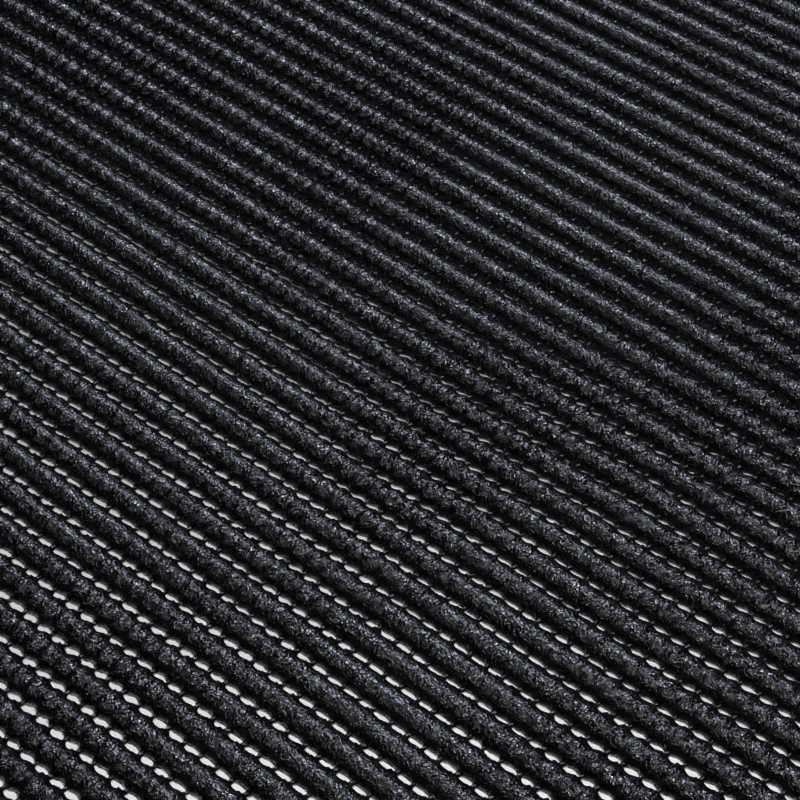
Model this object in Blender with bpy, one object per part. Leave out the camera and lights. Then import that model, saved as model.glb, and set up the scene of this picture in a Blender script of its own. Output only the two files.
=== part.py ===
"""Ribbed soft-foam door mat that rolls up.

Round PVC-foam ribs lie side by side along Y. Thin foam-coated warp yarns bridge each gap, so the
mat bends between any two ribs and rolls up from its free end. Every rib is a separate object. Its
origin lies on the hinge line in the middle of the gap before it, and the hinge empties form a chain.
"""

import math

import bmesh
import bpy
from mathutils import Matrix

# Driving dimensions, in metres
RIB_COUNT = 49
RIB_PITCH = 0.0082          # centre to centre across the ribs
RIB_DIAMETER = 0.0064       # thickness of the mat, measured on the flats
RIB_LENGTH = 0.600
RIB_SIDES = 12              # one flat lies down, one faces each neighbour

LINK_WIDTH = 0.0018         # along the rib
LINK_THICKNESS = 0.0010
LINKS_PER_GAP = 6           # load-bearing links that stand for the full row of warp yarns
LINK_END_MARGIN = 0.015     # from a rib's end to its first link
LINK_ROOT = 0.0009          # how deep a link is rooted in its own rib
LINK_CLEARANCE = 0.0003     # left between a link's tip and the next rib

GAP = RIB_PITCH - RIB_DIAMETER
RIB_AXIS_HEIGHT = RIB_DIAMETER / 2
CORNER_RADIUS = RIB_DIAMETER / 2 / math.cos(math.pi / RIB_SIDES)
FIRST_RIB_X = -RIB_PITCH * (RIB_COUNT - 1) / 2

FOAM_COLOUR = (0.021, 0.021, 0.026, 1.0)
FOAM_ROUGHNESS = 0.62


def clear_scene():
    for old in list(bpy.data.objects):
        bpy.data.objects.remove(old, do_unlink=True)


def new_collection(name):
    collection = bpy.data.collections.new(name)
    bpy.context.scene.collection.children.link(collection)
    return collection


def foam_material(name):
    material = bpy.data.materials.new(name)
    material.use_nodes = True
    shader = material.node_tree.nodes["Principled BSDF"]
    shader.inputs["Base Color"].default_value = FOAM_COLOUR
    shader.inputs["Roughness"].default_value = FOAM_ROUGHNESS
    shader.inputs["Metallic"].default_value = 0.0
    return material


def rib_name(index):
    return f"rib_{index + 1:02d}"


def rib_x(index):
    return FIRST_RIB_X + index * RIB_PITCH


def hinge_x(index):
    """The line in the middle of the gap before a rib, about which that rib turns."""
    return rib_x(index) - RIB_PITCH / 2


def link_places():
    first = -RIB_LENGTH / 2 + LINK_END_MARGIN
    step = (RIB_LENGTH - 2 * LINK_END_MARGIN) / (LINKS_PER_GAP - 1)
    return [first + step * number for number in range(LINKS_PER_GAP)]


def object_from_bmesh(shape, name, collection):
    mesh = bpy.data.meshes.new(name)
    shape.to_mesh(mesh)
    shape.free()
    made = bpy.data.objects.new(name, mesh)
    collection.objects.link(made)
    return made


def plain_rib(name, offset_x, collection):
    """A many-sided bar along Y, with its axis offset_x from the object's origin."""
    shape = bmesh.new()
    lie_along_y = Matrix.Rotation(math.pi / 2, 4, "X")
    turn_flat_down = Matrix.Rotation(math.pi / RIB_SIDES, 4, "Y")
    place = Matrix.Translation((offset_x, 0, 0))
    bmesh.ops.create_cone(
        shape,
        cap_ends=True,
        segments=RIB_SIDES,
        radius1=CORNER_RADIUS,
        radius2=CORNER_RADIUS,
        depth=RIB_LENGTH,
        matrix=place @ turn_flat_down @ lie_along_y,
    )
    bmesh.ops.recalc_face_normals(shape, faces=shape.faces)
    return object_from_bmesh(shape, name, collection)


def link_row(name, offset_x, collection):
    """The short bridges on a rib's +X side, which stop just short of the next rib."""
    shape = bmesh.new()
    inner = offset_x + RIB_DIAMETER / 2 - LINK_ROOT
    outer = offset_x + RIB_DIAMETER / 2 + GAP - LINK_CLEARANCE
    size = Matrix.Diagonal((outer - inner, LINK_WIDTH, LINK_THICKNESS, 1))
    for y in link_places():
        place = Matrix.Translation(((inner + outer) / 2, y, 0))
        bmesh.ops.create_cube(shape, size=1, matrix=place @ size)
    return object_from_bmesh(shape, name, collection)


def rib_with_links(name, offset_x, parts, cutters):
    """One closed body: the rib joined with its row of links."""
    rib = plain_rib(name, offset_x, parts)
    links = link_row(f"{name}_links", offset_x, cutters)
    links.hide_render = True
    links.display_type = "WIRE"
    join = rib.modifiers.new("join_links", "BOOLEAN")
    join.operation = "UNION"
    join.solver = "EXACT"
    join.object = links
    bpy.context.view_layer.update()
    evaluated = rib.evaluated_get(bpy.context.evaluated_depsgraph_get())
    joined = bpy.data.meshes.new_from_object(evaluated)
    bpy.data.objects.remove(rib, do_unlink=True)
    joined.name = name
    return joined


def plain_rib_mesh(name, offset_x, parts):
    rib = plain_rib(name, offset_x, parts)
    mesh = rib.data
    bpy.data.objects.remove(rib, do_unlink=True)
    return mesh


def hinge_empty(index, parent, collection):
    """An empty on the hinge line before a rib, hung on the hinge before it."""
    empty = bpy.data.objects.new(f"hinge_line_{index + 1:02d}", None)
    empty.empty_display_size = RIB_DIAMETER
    collection.objects.link(empty)
    if parent is None:
        empty.location = (hinge_x(index), 0, RIB_AXIS_HEIGHT)
    else:
        empty.parent = parent
        empty.location = (RIB_PITCH, 0, 0)
    return empty


def build_mat():
    parts = new_collection("ribbed_door_mat")
    cutters = new_collection("guides_and_cutters")
    foam = foam_material("black_pvc_foam")
    linked_mesh = rib_with_links("foam_rib_with_links", RIB_PITCH / 2, parts, cutters)
    end_mesh = plain_rib_mesh("foam_end_rib", RIB_PITCH / 2, parts)
    for mesh in (linked_mesh, end_mesh):
        mesh.materials.clear()
        mesh.materials.append(foam)
    hinge = None
    for index in range(RIB_COUNT):
        hinge = hinge_empty(index, hinge, cutters)
        last = index == RIB_COUNT - 1
        rib = bpy.data.objects.new(rib_name(index), end_mesh if last else linked_mesh)
        rib.parent = hinge
        parts.objects.link(rib)
    bpy.context.view_layer.update()


clear_scene()
build_mat()
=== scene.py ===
"""Looks of the ribbed soft-foam door mat.

Two Geometry Nodes trees grow the whole mat: one makes a foam rib, the other a row of the coated yarn
links between two ribs. Each result becomes a plain mesh. The ribs ride on the rib bodies of the frame;
the link rows stay fixed where they are grown.
All lengths are in metres.
"""

import math

import bpy
from mathutils import Matrix, Vector


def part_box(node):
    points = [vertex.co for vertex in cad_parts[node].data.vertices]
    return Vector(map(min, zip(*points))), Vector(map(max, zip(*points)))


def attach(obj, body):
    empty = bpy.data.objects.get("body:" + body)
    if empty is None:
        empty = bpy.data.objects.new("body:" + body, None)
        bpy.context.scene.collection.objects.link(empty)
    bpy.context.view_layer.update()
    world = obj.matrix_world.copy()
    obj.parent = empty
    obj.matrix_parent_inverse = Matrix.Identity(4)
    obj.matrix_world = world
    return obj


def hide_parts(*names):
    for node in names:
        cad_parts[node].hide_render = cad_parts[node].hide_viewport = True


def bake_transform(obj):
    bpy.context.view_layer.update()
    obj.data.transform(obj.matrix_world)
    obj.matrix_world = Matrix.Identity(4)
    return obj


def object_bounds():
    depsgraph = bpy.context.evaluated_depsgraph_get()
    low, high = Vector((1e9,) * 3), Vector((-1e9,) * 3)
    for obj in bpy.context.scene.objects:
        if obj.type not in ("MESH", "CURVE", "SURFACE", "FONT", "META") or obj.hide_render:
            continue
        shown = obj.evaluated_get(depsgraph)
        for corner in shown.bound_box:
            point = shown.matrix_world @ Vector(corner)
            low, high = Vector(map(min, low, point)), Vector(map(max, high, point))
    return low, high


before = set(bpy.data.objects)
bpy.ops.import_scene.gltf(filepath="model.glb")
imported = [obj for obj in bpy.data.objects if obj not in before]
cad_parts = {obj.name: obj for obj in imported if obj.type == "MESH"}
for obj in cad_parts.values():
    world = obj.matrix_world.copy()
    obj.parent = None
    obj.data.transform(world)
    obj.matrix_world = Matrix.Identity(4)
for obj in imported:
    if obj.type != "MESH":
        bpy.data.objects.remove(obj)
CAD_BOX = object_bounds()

# ---------------------------------------------------------------- sizes read from the frame
RIB_NAMES = sorted(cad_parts)
END_RIB_LOW, END_RIB_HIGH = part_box(RIB_NAMES[-1])   # this rib carries no links, so its box is the bare bar
RIB_DIAMETER = END_RIB_HIGH.z - END_RIB_LOW.z
RIB_LENGTH = END_RIB_HIGH.y - END_RIB_LOW.y
RIB_CENTRE_Z = (END_RIB_HIGH.z + END_RIB_LOW.z) / 2
END_RIB_X = (END_RIB_LOW.x + END_RIB_HIGH.x) / 2
RIB_PITCH = (END_RIB_X - (CAD_BOX[0].x + RIB_DIAMETER / 2)) / (len(RIB_NAMES) - 1)
RIB_GAP = RIB_PITCH - RIB_DIAMETER

# ---------------------------------------------------------------- foam ribs
RIB_SIDES = 22
RIB_RINGS = 700             # 0.86 mm apart along a rib
SKIN_ALLOWANCE = 0.00002    # the plain bar has this much less radius than the CAD's
RIB_WANDER = 0.0009         # how far a rib strays sideways
RIB_SWELL = 0.0008          # slow changes in its thickness
RIB_CRUMPLE = 0.00055       # short crumples of its skin
RIB_PINCH = 0.00034         # the foam swells a little at each yarn and is drawn in between two yarns
PINCH_SLANT = 0.6           # the pinches run round a rib like the lay of a rope: radians from middle to top
WANDER_WAVE = 0.024         # the length of each of these changes
SWELL_WAVE = 0.0075
CRUMPLE_WAVE = 0.0021
PINCH_WAVE = 0.085          # the pinches fade in and out over this length
WANDER_SEED = 3.1
SWELL_SEED = 5.7
CRUMPLE_SEED = 9.3
PINCH_SEED = 2.2
FLOOR_CLEARANCE = 0.00005   # the lowest the foam goes, where the mat's weight presses it flat
OUT_OF_REACH = 10.0         # farther than any part of the mat, so that only its height is limited

# ---------------------------------------------------------------- yarn links
LINK_STEP = 0.00475         # warp yarns are 4.75 mm apart
LINK_COUNT = 125
LINK_HALF_WIDTH = 0.00048   # at its waist
LINK_FLARE = 3.2            # the foam coat flares it this many times where it enters a rib
LINK_FLARE_POWER = 2.2      # the higher, the closer to the ribs the flare stays
LINK_FLATNESS = 0.72        # height of a link against its width
LINK_SAG = 0.00050          # how far a yarn droops between two ribs
LINK_REACH = 0.0007         # how far a link runs inside each rib
LINK_RISE = 0.0004          # the yarns enter a little above the middle of the ribs
LINK_RINGS = 6
LINK_SIDES = 6
LINK_SHAKE = Vector((0.00012, 0.00032, 0.00016))    # how far a link may lie from its place
LINK_TURN = Vector((0.35, 0.10, 0.22))              # and be turned about each axis, in radians
LINK_THINNEST = (1.0, 0.8, 0.8)                     # scales of the least and the most coated link
LINK_FATTEST = (1.0, 1.35, 1.25)
LINK_SEED = 7               # of the first row; the next row has the next number
TURN_SEED = 100.0           # added to a row's seed for the turns
COAT_SEED = 200.0           # and for the thickness of the coats

# ---------------------------------------------------------------- material patterns
FOLD_WIDTH = 0.65e-3        # one crinkle of the foam's skin and the dip beside it, drawn coarse
PORE_WIDTH = 0.57e-3        # open bubbles of the foam, drawn as coarse as the folds
PORE_SHARE = -0.3           # how deep a pore is against the height of a fold
PATCH_WIDTH = 10.5e-3       # duller and glossier areas of the skin
PATCH_SHARE = 0.08          # how much duller, in roughness
FOLD_HEIGHT = 0.31e-3
FIBRE_WIDTH = 0.59e-3       # real fibres are 0.02 mm thick: drawn this coarse so that they show
FIBRE_HEIGHT = 0.2e-3
HAZE_WIDTH = 0.17           # uneven sheen of the floor

# ---------------------------------------------------------------- stage
FLOOR_SIZE = 12.0
FLOOR_DROP = 0.0002         # the floor lies this far under the frame's z = 0
BACKDROP_RADIUS = 3.2
BACKDROP_HEIGHT = 3.4
BACKDROP_SIDES = 96
BACKDROP_OVERLAP = 0.01     # the wall goes this far through the floor
GLOW_START = 0.6            # the floor starts to glow this far from the mat's middle
GLOW_FULL = 2.4
ROOM_LIGHT = 0.005          # next to nothing comes from all round
PRINT_GAMMA = 0.80          # deepens the blacks, as a print of a black object is usually made

# ---------------------------------------------------------------- lights
MAT_MIDDLE = Vector((0.0, 0.0, 0.0))
SOFTBOX_PLACE = Vector((0.85, 1.10, 1.85))
SOFTBOX_WIDTH = 0.8
SOFTBOX_WATTS = 96.0
LAMP_PLACE = Vector((-0.252, -0.250, 0.400))
LAMP_WIDTH = 0.05
LAMP_WATTS = 2.3
FILL_PLACE = Vector((-1.94, 0.75, 2.16))
FILL_WIDTH = 0.5
FILL_WATTS = 34.0
REAR_PLACE = Vector((1.55, -1.50, 0.95))
REAR_WIDTH = 1.0
REAR_WATTS = 26.0

# ---------------------------------------------------------------- camera
CAMERA_LENS = 100.0                     # millimetres, as is the sensor
CAMERA_SENSOR = 36.0
CAMERA_TILT = math.radians(45.4)        # below the horizon
CAMERA_HEADING = math.radians(45.3)     # between the ribs and the view, seen from above
CAMERA_ROLL = math.radians(2.34)
CAMERA_HEIGHT = 0.383
CAMERA_NEAREST = 0.01
CAMERA_FARTHEST = 20.0
AIM = Vector((-0.030, 0.0, 0.0))


def hex_colour(code):
    """sRGB hex to linear RGBA."""
    channels = [int(code[i:i + 2], 16) / 255 for i in (1, 3, 5)]
    linear = [c / 12.92 if c <= 0.04045 else ((c + 0.055) / 1.055) ** 2.4 for c in channels]
    return (*linear, 1.0)


def add_node(tree, kind, inputs=None, **settings):
    """Adds a node, sets its properties and fills its inputs. An input given as a node is linked to that
    node's first output, and one given as a socket to that socket."""
    node = tree.nodes.new(kind)
    for name, value in settings.items():
        setattr(node, name, value)
    for key, value in (inputs or {}).items():
        if isinstance(value, bpy.types.Node):
            value = value.outputs[0]
        if isinstance(value, bpy.types.NodeSocket):
            tree.links.new(value, node.inputs[key])
        else:
            node.inputs[key].default_value = value
    return node


# ---------------------------------------------------------------- materials

def new_material(name):
    """An empty material. Its tree is finished by finish_material."""
    material = bpy.data.materials.new(name)
    material.use_nodes = True
    material.node_tree.nodes.clear()
    return material, material.node_tree


def finish_material(tree, surface):
    """Adds the Principled shader with these inputs and the output."""
    shader = add_node(tree, "ShaderNodeBsdfPrincipled", surface)
    add_node(tree, "ShaderNodeOutputMaterial", {"Surface": shader})


def two_colours(ramp, low, low_colour, high, high_colour):
    """Sets a colour ramp's two ends."""
    first, last = ramp.elements
    first.position, first.color = low, hex_colour(low_colour)
    last.position, last.color = high, hex_colour(high_colour)


def crinkled_foam_material():
    """Soft PVC foam with a skin that crinkled as it cooled.

    The skin is matt black, but each tiny fold has a slightly waxy crest that catches the light, so the
    top of a rib glitters grey while its sides stay nearly black. Real folds are 0.1 to 0.3 mm wide. They
    are drawn about twice as wide, so that they show.
    """
    material, tree = new_material("blown PVC foam, black, crinkled skin")
    place = add_node(tree, "ShaderNodeTexCoord").outputs["Object"]
    folds = add_node(tree, "ShaderNodeTexNoise", {
        "Vector": place, "Scale": 1 / FOLD_WIDTH, "Detail": 0.8, "Roughness": 0.5, "Distortion": 0.6})
    pores = add_node(tree, "ShaderNodeTexVoronoi", {
        "Vector": place, "Scale": 1 / PORE_WIDTH, "Smoothness": 0.5}, feature="SMOOTH_F1")
    patches = add_node(tree, "ShaderNodeTexNoise", {
        "Vector": place, "Scale": 1 / PATCH_WIDTH, "Detail": 3.0, "Roughness": 0.6})
    relief = add_node(tree, "ShaderNodeMath", {0: pores, 1: PORE_SHARE, 2: folds}, operation="MULTIPLY_ADD")
    colour = add_node(tree, "ShaderNodeValToRGB", {"Fac": folds})
    two_colours(colour.color_ramp, 0.40, "#010101", 0.68, "#040405")
    crests = add_node(tree, "ShaderNodeMapRange", {
        "Value": relief, "From Min": 0.20, "From Max": 0.45, "To Min": 0.34, "To Max": 0.12})
    gloss = add_node(tree, "ShaderNodeMath", {
        0: patches, 1: PATCH_SHARE, 2: crests}, operation="MULTIPLY_ADD")
    bump = add_node(tree, "ShaderNodeBump", {
        "Height": relief, "Strength": 1.0, "Distance": FOLD_HEIGHT})
    finish_material(tree, {
        "Base Color": colour, "Roughness": gloss, "Normal": bump, "IOR": 1.42})
    return material


def coated_yarn_material():
    """Polyester warp yarn under a thin dip of the same PVC. The dip dried smoother than the foam, so a
    link shows a small glint where it bends into the rib."""
    material, tree = new_material("polyester yarn, dipped in black PVC")
    place = add_node(tree, "ShaderNodeTexCoord").outputs["Object"]
    fibres = add_node(tree, "ShaderNodeTexNoise", {
        "Vector": place, "Scale": 1 / FIBRE_WIDTH, "Detail": 2.0, "Roughness": 0.5})
    colour = add_node(tree, "ShaderNodeValToRGB", {"Fac": fibres})
    two_colours(colour.color_ramp, 0.35, "#010101", 0.7, "#0b0b0c")
    bump = add_node(tree, "ShaderNodeBump", {
        "Height": fibres, "Strength": 0.6, "Distance": FIBRE_HEIGHT})
    finish_material(tree, {
        "Base Color": colour, "Roughness": 0.32, "Normal": bump, "IOR": 1.50})
    return material


def floor_material():
    """Matt white laminate: plain, with the faintest unevenness in its sheen. Far from the mat it glows
    a little, as if lit by the rest of the studio, so that it doesn't fade to grey in low views."""
    material, tree = new_material("matt white laminate")
    place = add_node(tree, "ShaderNodeTexCoord").outputs["Object"]
    haze = add_node(tree, "ShaderNodeTexNoise", {
        "Vector": place, "Scale": 1 / HAZE_WIDTH, "Detail": 2.0})
    sheen = add_node(tree, "ShaderNodeMapRange", {"Value": haze, "To Min": 0.5, "To Max": 0.62})
    distance = add_node(tree, "ShaderNodeVectorMath", {0: place}, operation="LENGTH").outputs["Value"]
    glow = add_node(tree, "ShaderNodeMapRange", {
        "Value": distance, "From Min": GLOW_START, "From Max": GLOW_FULL, "To Min": 0.0, "To Max": 0.8})
    finish_material(tree, {
        "Base Color": hex_colour("#f1f1f0"), "Roughness": sheen,
        "Emission Color": hex_colour("#ffffff"), "Emission Strength": glow})
    return material


def backdrop_material():
    """Pale paper that glows a little, as if lit from behind."""
    material, tree = new_material("pale backdrop paper")
    finish_material(tree, {
        "Base Color": hex_colour("#e8e8e8"), "Roughness": 0.9,
        "Emission Color": hex_colour("#e4e5e8"), "Emission Strength": 0.85})
    return material


# ---------------------------------------------------------------- growing a mesh from a tree

def new_tree(name, inputs):
    """A Geometry Nodes tree with one named input for each size."""
    tree = bpy.data.node_groups.new(name, "GeometryNodeTree")
    for title, kind, value in inputs:
        socket = tree.interface.new_socket(title, in_out="INPUT", socket_type=kind)
        if value is not None:
            socket.default_value = value
    tree.interface.new_socket("Geometry", in_out="OUTPUT", socket_type="NodeSocketGeometry")
    return tree, add_node(tree, "NodeGroupInput").outputs


def finish_tree(tree, geometry, material):
    """Ends a tree: plain geometry in one material."""
    real = add_node(tree, "GeometryNodeRealizeInstances", {"Geometry": geometry})
    dressed = add_node(tree, "GeometryNodeSetMaterial", {"Geometry": real, "Material": material})
    add_node(tree, "NodeGroupOutput", {"Geometry": dressed})


def grow(name, tree, sizes):
    """Runs a tree with these sizes and returns its result as a plain mesh object."""
    seed_mesh = bpy.data.meshes.new(name + "_seed")
    carrier = bpy.data.objects.new(name + "_seed", seed_mesh)
    bpy.context.scene.collection.objects.link(carrier)
    modifier = carrier.modifiers.new("grow", "NODES")
    modifier.node_group = tree
    for item in tree.interface.items_tree:
        if item.in_out == "INPUT" and item.name in sizes:
            modifier[item.identifier] = sizes[item.name]
    evaluated = carrier.evaluated_get(bpy.context.evaluated_depsgraph_get())
    mesh = bpy.data.meshes.new_from_object(evaluated)
    bpy.data.objects.remove(carrier, do_unlink=True)
    bpy.data.meshes.remove(seed_mesh)
    mesh.name = name
    piece = bpy.data.objects.new(name, mesh)
    bpy.context.scene.collection.objects.link(piece)
    return piece


def straight_curve(tree, axis, length, count):
    """A line along one axis, centred on the origin, with this many points."""
    start = add_node(tree, "ShaderNodeMath", {0: length, 1: -0.5}, operation="MULTIPLY")
    end = add_node(tree, "ShaderNodeMath", {0: length, 1: 0.5}, operation="MULTIPLY")
    line = add_node(tree, "GeometryNodeCurvePrimitiveLine", {
        "Start": add_node(tree, "ShaderNodeCombineXYZ", {axis: start}),
        "End": add_node(tree, "ShaderNodeCombineXYZ", {axis: end})})
    return add_node(tree, "GeometryNodeResampleCurve", {"Curve": line, "Count": count})


def uneven(tree, place, wave, seed, detail):
    """Smooth unevenness from -0.5 to 0.5 with features about one wave long."""
    noise = add_node(tree, "ShaderNodeTexNoise", {
        "Vector": place, "W": seed, "Scale": 1 / wave, "Detail": detail, "Roughness": 0.55},
        noise_dimensions="4D")
    return add_node(tree, "ShaderNodeMath", {0: noise, 1: 0.5}, operation="SUBTRACT")


# ---------------------------------------------------------------- foam rib tree

def foam_rib_tree(material):
    """A round foam bar along Y that wanders, swells and is pinched between the yarns."""
    tree, size = new_tree("foam rib", [
        ("Centre", "NodeSocketVector", None),
        ("Length", "NodeSocketFloat", RIB_LENGTH),
        ("Radius", "NodeSocketFloat", RIB_DIAMETER / 2 - SKIN_ALLOWANCE),
        ("Rings", "NodeSocketInt", RIB_RINGS),
        ("Sides", "NodeSocketInt", RIB_SIDES),
        ("Yarn Step", "NodeSocketFloat", LINK_STEP),
        ("Wander", "NodeSocketFloat", RIB_WANDER),
        ("Swell", "NodeSocketFloat", RIB_SWELL),
        ("Crumple", "NodeSocketFloat", RIB_CRUMPLE),
        ("Pinch", "NodeSocketFloat", RIB_PINCH),
        ("Pinch Slant", "NodeSocketFloat", PINCH_SLANT),
        ("Floor", "NodeSocketFloat", FLOOR_CLEARANCE),
    ])
    profile = add_node(tree, "GeometryNodeCurvePrimitiveCircle", {
        "Radius": size["Radius"], "Resolution": size["Sides"]})
    bar = add_node(tree, "GeometryNodeCurveToMesh", {
        "Curve": straight_curve(tree, "Y", size["Length"], size["Rings"]),
        "Profile Curve": profile, "Fill Caps": True})
    placed = add_node(tree, "GeometryNodeTransform", {"Geometry": bar, "Translation": size["Centre"]})

    place = add_node(tree, "GeometryNodeInputPosition")
    here = add_node(tree, "ShaderNodeSeparateXYZ", {"Vector": place}).outputs
    middle = add_node(tree, "ShaderNodeSeparateXYZ", {"Vector": size["Centre"]}).outputs
    height = add_node(tree, "ShaderNodeMath", {0: here["Z"], 1: middle["Z"]}, operation="SUBTRACT")
    from_axis = add_node(tree, "ShaderNodeCombineXYZ", {
        "X": add_node(tree, "ShaderNodeMath", {0: here["X"], 1: middle["X"]}, operation="SUBTRACT"),
        "Z": height})
    outward = add_node(tree, "ShaderNodeVectorMath", {0: from_axis}, operation="NORMALIZE")
    along = add_node(tree, "ShaderNodeCombineXYZ", {"X": middle["X"], "Y": here["Y"]})

    # the foam swells at each yarn and is drawn in between, more in some stretches than in others
    turns = add_node(tree, "ShaderNodeMath", {0: here["Y"], 1: size["Yarn Step"]}, operation="DIVIDE")
    share = add_node(tree, "ShaderNodeMath", {0: height, 1: size["Radius"]}, operation="DIVIDE")
    lay = add_node(tree, "ShaderNodeMath", {0: share, 1: size["Pinch Slant"]}, operation="MULTIPLY")
    angle = add_node(tree, "ShaderNodeMath", {
        0: turns, 1: 2 * math.pi, 2: lay}, operation="MULTIPLY_ADD")
    wave = add_node(tree, "ShaderNodeMath", {0: angle}, operation="COSINE")
    pinch_share = add_node(tree, "ShaderNodeMapRange", {
        "Value": uneven(tree, along, PINCH_WAVE, PINCH_SEED, 1.0),
        "From Min": -0.12, "From Max": 0.16, "To Min": 0.25, "To Max": 1.0})
    full_pinch = add_node(tree, "ShaderNodeMath", {0: wave, 1: size["Pinch"]}, operation="MULTIPLY")
    pinch = add_node(tree, "ShaderNodeMath", {0: full_pinch, 1: pinch_share}, operation="MULTIPLY")

    # lumps and crumples push the skin in and out, and the whole bar strays sideways
    crumpled = add_node(tree, "ShaderNodeMath", {
        0: uneven(tree, place, CRUMPLE_WAVE, CRUMPLE_SEED, 3.0), 1: size["Crumple"], 2: pinch},
        operation="MULTIPLY_ADD")
    swollen = add_node(tree, "ShaderNodeMath", {
        0: uneven(tree, place, SWELL_WAVE, SWELL_SEED, 2.0), 1: size["Swell"], 2: crumpled},
        operation="MULTIPLY_ADD")
    push = add_node(tree, "ShaderNodeVectorMath", {0: outward, "Scale": swollen}, operation="SCALE")
    stray = add_node(tree, "ShaderNodeMath", {
        0: uneven(tree, along, WANDER_WAVE, WANDER_SEED, 2.0), 1: size["Wander"]}, operation="MULTIPLY")
    shift = add_node(tree, "ShaderNodeVectorMath", {
        0: push, 1: add_node(tree, "ShaderNodeCombineXYZ", {"X": stray})}, operation="ADD")
    rough = add_node(tree, "GeometryNodeSetPosition", {"Geometry": placed, "Offset": shift})

    # the mat's weight presses the foam flat where it meets the floor
    lowest = add_node(tree, "ShaderNodeCombineXYZ", {
        "X": -OUT_OF_REACH, "Y": -OUT_OF_REACH, "Z": size["Floor"]})
    rested = add_node(tree, "ShaderNodeVectorMath", {
        0: add_node(tree, "GeometryNodeInputPosition"), 1: lowest}, operation="MAXIMUM")
    flat = add_node(tree, "GeometryNodeSetPosition", {"Geometry": rough, "Position": rested})
    smooth = add_node(tree, "GeometryNodeSetShadeSmooth", {"Geometry": flat, "Shade Smooth": True})
    finish_tree(tree, smooth, material)
    return tree


# ---------------------------------------------------------------- link row tree

def link_row_tree(material):
    """A row of short coated yarns across one gap, each waisted in the middle and flared at its ends."""
    tree, size = new_tree("link row", [
        ("Centre", "NodeSocketVector", None),
        ("Span", "NodeSocketFloat", RIB_GAP + 2 * LINK_REACH),
        ("Half Width", "NodeSocketFloat", LINK_HALF_WIDTH),
        ("Flare", "NodeSocketFloat", LINK_FLARE),
        ("Sag", "NodeSocketFloat", LINK_SAG),
        ("Yarn Step", "NodeSocketFloat", LINK_STEP),
        ("Count", "NodeSocketInt", LINK_COUNT),
        ("Seed", "NodeSocketInt", LINK_SEED),
    ])
    # 0 at the waist and 1 at both ends
    run = add_node(tree, "GeometryNodeSplineParameter").outputs["Factor"]
    side = add_node(tree, "ShaderNodeMath", {0: run, 1: 2.0, 2: -1.0}, operation="MULTIPLY_ADD")
    off_middle = add_node(tree, "ShaderNodeMath", {0: side}, operation="ABSOLUTE")
    flared = add_node(tree, "ShaderNodeMath", {0: off_middle, 1: LINK_FLARE_POWER}, operation="POWER")

    depth = add_node(tree, "ShaderNodeMath", {0: flared, 1: 1.0}, operation="SUBTRACT")
    droop = add_node(tree, "ShaderNodeMath", {0: depth, 1: size["Sag"]}, operation="MULTIPLY")
    hung = add_node(tree, "GeometryNodeSetPosition", {
        "Geometry": straight_curve(tree, "X", size["Span"], LINK_RINGS),
        "Offset": add_node(tree, "ShaderNodeCombineXYZ", {"Z": droop})})
    growth = add_node(tree, "ShaderNodeMath", {0: size["Flare"], 1: 1.0}, operation="SUBTRACT")
    spread = add_node(tree, "ShaderNodeMath", {0: flared, 1: growth, 2: 1.0}, operation="MULTIPLY_ADD")
    width = add_node(tree, "ShaderNodeMath", {0: size["Half Width"], 1: spread}, operation="MULTIPLY")
    profile = add_node(tree, "GeometryNodeCurvePrimitiveCircle", {
        "Radius": 1.0, "Resolution": LINK_SIDES})
    strand = add_node(tree, "GeometryNodeCurveToMesh", {
        "Curve": hung, "Profile Curve": profile, "Scale": width, "Fill Caps": True})
    flat = add_node(tree, "GeometryNodeTransform", {
        "Geometry": strand, "Scale": (1.0, 1.0, LINK_FLATNESS)})
    smooth = add_node(tree, "GeometryNodeSetShadeSmooth", {"Geometry": flat, "Shade Smooth": True})

    # the row starts half its length before the centre, and no two links are quite alike
    steps = add_node(tree, "ShaderNodeMath", {
        0: size["Count"], 1: -0.5, 2: 0.5}, operation="MULTIPLY_ADD")
    reach = add_node(tree, "ShaderNodeMath", {0: size["Yarn Step"], 1: steps}, operation="MULTIPLY")
    first = add_node(tree, "ShaderNodeVectorMath", {
        0: size["Centre"], 1: add_node(tree, "ShaderNodeCombineXYZ", {"Y": reach})}, operation="ADD")
    points = add_node(tree, "GeometryNodeMeshLine", {
        "Count": size["Count"], "Start Location": first,
        "Offset": add_node(tree, "ShaderNodeCombineXYZ", {"Y": size["Yarn Step"]})}, mode="OFFSET")
    shake = add_node(tree, "FunctionNodeRandomValue", {
        0: -LINK_SHAKE, 1: LINK_SHAKE, "Seed": size["Seed"]}, data_type="FLOAT_VECTOR")
    shaken = add_node(tree, "GeometryNodeSetPosition", {"Geometry": points, "Offset": shake})
    turn = add_node(tree, "FunctionNodeRandomValue", {
        0: -LINK_TURN, 1: LINK_TURN,
        "Seed": add_node(tree, "ShaderNodeMath", {0: size["Seed"], 1: TURN_SEED}, operation="ADD")},
        data_type="FLOAT_VECTOR")
    fat = add_node(tree, "FunctionNodeRandomValue", {
        0: LINK_THINNEST, 1: LINK_FATTEST,
        "Seed": add_node(tree, "ShaderNodeMath", {0: size["Seed"], 1: COAT_SEED}, operation="ADD")},
        data_type="FLOAT_VECTOR")
    row = add_node(tree, "GeometryNodeInstanceOnPoints", {
        "Points": shaken, "Instance": smooth, "Rotation": turn, "Scale": fat})
    finish_tree(tree, row, material)
    return tree


# ---------------------------------------------------------------- the mat

def rib_x(index):
    """Where the middle of a rib lies across the mat."""
    return END_RIB_X - (len(RIB_NAMES) - 1 - index) * RIB_PITCH


def make_ribs(material):
    """One padded foam bar on each rib body."""
    tree = foam_rib_tree(material)
    for index, node in enumerate(RIB_NAMES):
        rib = grow("foam_" + node, tree, {"Centre": (rib_x(index), 0.0, RIB_CENTRE_Z)})
        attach(rib, node)
        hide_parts(node)


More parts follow.
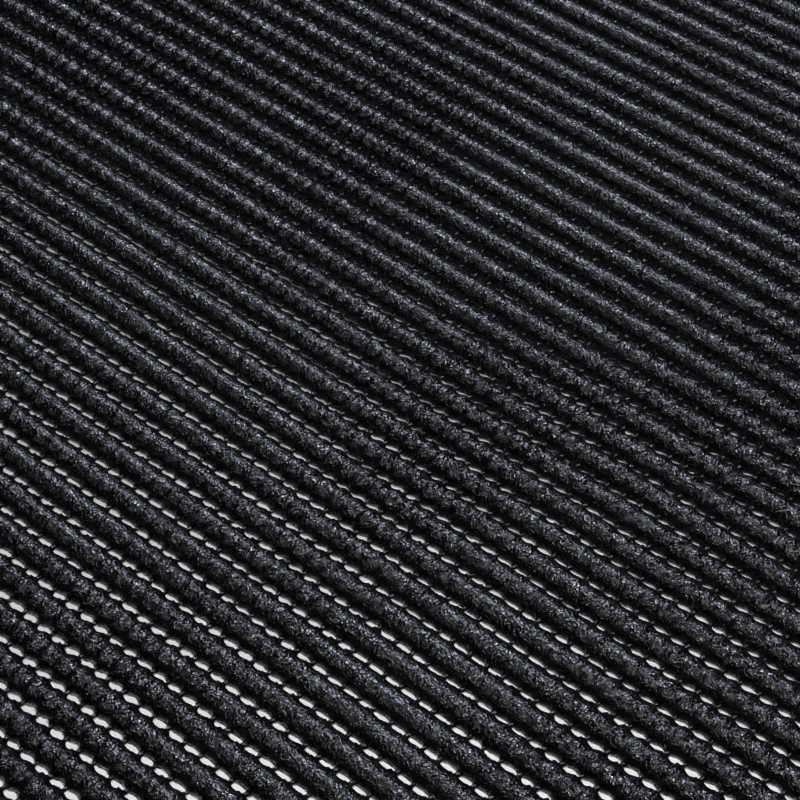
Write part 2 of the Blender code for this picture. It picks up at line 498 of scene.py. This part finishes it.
def make_links(material):
    """One row of yarn links in each gap, bending from one rib to the next."""
    tree = link_row_tree(material)
    for index in range(len(RIB_NAMES) - 1):
        middle = rib_x(index) + RIB_PITCH / 2
        row = grow(f"links_{index + 1:02d}", tree, {
            "Centre": (middle, 0.0, RIB_CENTRE_Z + LINK_RISE), "Seed": LINK_SEED + index})
        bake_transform(row)


# ---------------------------------------------------------------- stage, light and camera

def make_floor(material):
    bpy.ops.mesh.primitive_plane_add(size=FLOOR_SIZE, location=(0, 0, -FLOOR_DROP))
    floor = bpy.context.object
    floor.name = "floor"
    floor.data.materials.append(material)


def make_backdrop(material):
    """A pale round wall far behind the mat, only there so that low views have a pale background."""
    bpy.ops.mesh.primitive_cylinder_add(
        vertices=BACKDROP_SIDES, radius=BACKDROP_RADIUS, depth=BACKDROP_HEIGHT,
        end_fill_type="NOTHING", location=(0, 0, BACKDROP_HEIGHT / 2 - BACKDROP_OVERLAP))
    wall = bpy.context.object
    wall.name = "backdrop"
    wall.data.materials.append(material)
    wall.visible_diffuse = False
    wall.visible_glossy = False
    wall.visible_shadow = False


def add_area_light(name, place, target, width, watts, colour="#ffffff"):
    """A square light at a place, turned to a target."""
    data = bpy.data.lights.new(name, "AREA")
    data.shape = "SQUARE"
    data.size = width
    data.energy = watts
    data.color = hex_colour(colour)[:3]
    light = bpy.data.objects.new(name, data)
    bpy.context.scene.collection.objects.link(light)
    light.location = place
    light.rotation_euler = (target - place).to_track_quat("-Z", "Y").to_euler()
    return light


def make_lights():
    world = bpy.data.worlds.new("studio")
    world.use_nodes = True
    background = world.node_tree.nodes["Background"]
    background.inputs["Color"].default_value = hex_colour("#ffffff")
    background.inputs["Strength"].default_value = ROOM_LIGHT
    bpy.context.scene.world = world
    # the key hangs over the mat, a little behind it and towards +Y, so the crest of each rib shines
    add_area_light("overhead softbox", SOFTBOX_PLACE, MAT_MIDDLE, SOFTBOX_WIDTH, SOFTBOX_WATTS, "#e6ebff")
    # a small lamp just above the camera reaches the floor through the slots
    lamp = add_area_light("slot light", LAMP_PLACE, AIM, LAMP_WIDTH, LAMP_WATTS)
    lamp.visible_camera = False
    add_area_light("front fill", FILL_PLACE, MAT_MIDDLE, FILL_WIDTH, FILL_WATTS)
    # seen from behind, the ribs shine in this one
    add_area_light("rear softbox", REAR_PLACE, MAT_MIDDLE, REAR_WIDTH, REAR_WATTS)


def make_camera():
    data = bpy.data.cameras.new("camera")
    data.lens = CAMERA_LENS
    data.sensor_width = CAMERA_SENSOR
    data.clip_start = CAMERA_NEAREST
    data.clip_end = CAMERA_FARTHEST
    camera = bpy.data.objects.new("camera", data)
    bpy.context.scene.collection.objects.link(camera)
    # the ribs run along Y; the view goes towards +X and +Y, with the heading measured from the ribs
    flat = Vector((math.cos(CAMERA_HEADING), math.sin(CAMERA_HEADING), 0.0))
    forward = flat * math.cos(CAMERA_TILT) - Vector((0, 0, math.sin(CAMERA_TILT)))
    level_right = flat.cross(Vector((0, 0, 1)))
    level_up = level_right.cross(forward)
    right = math.cos(CAMERA_ROLL) * level_right - math.sin(CAMERA_ROLL) * level_up
    up = math.sin(CAMERA_ROLL) * level_right + math.cos(CAMERA_ROLL) * level_up
    turn = Matrix((right, up, -forward)).transposed()
    place = AIM - forward * (CAMERA_HEIGHT / math.sin(CAMERA_TILT))
    camera.matrix_world = Matrix.Translation(place) @ turn.to_4x4()
    bpy.context.scene.camera = camera


make_camera()
make_lights()
make_floor(floor_material())
make_backdrop(backdrop_material())
make_ribs(crinkled_foam_material())
make_links(coated_yarn_material())
bpy.context.scene.view_settings.view_transform = "Standard"
bpy.context.scene.view_settings.gamma = PRINT_GAMMA
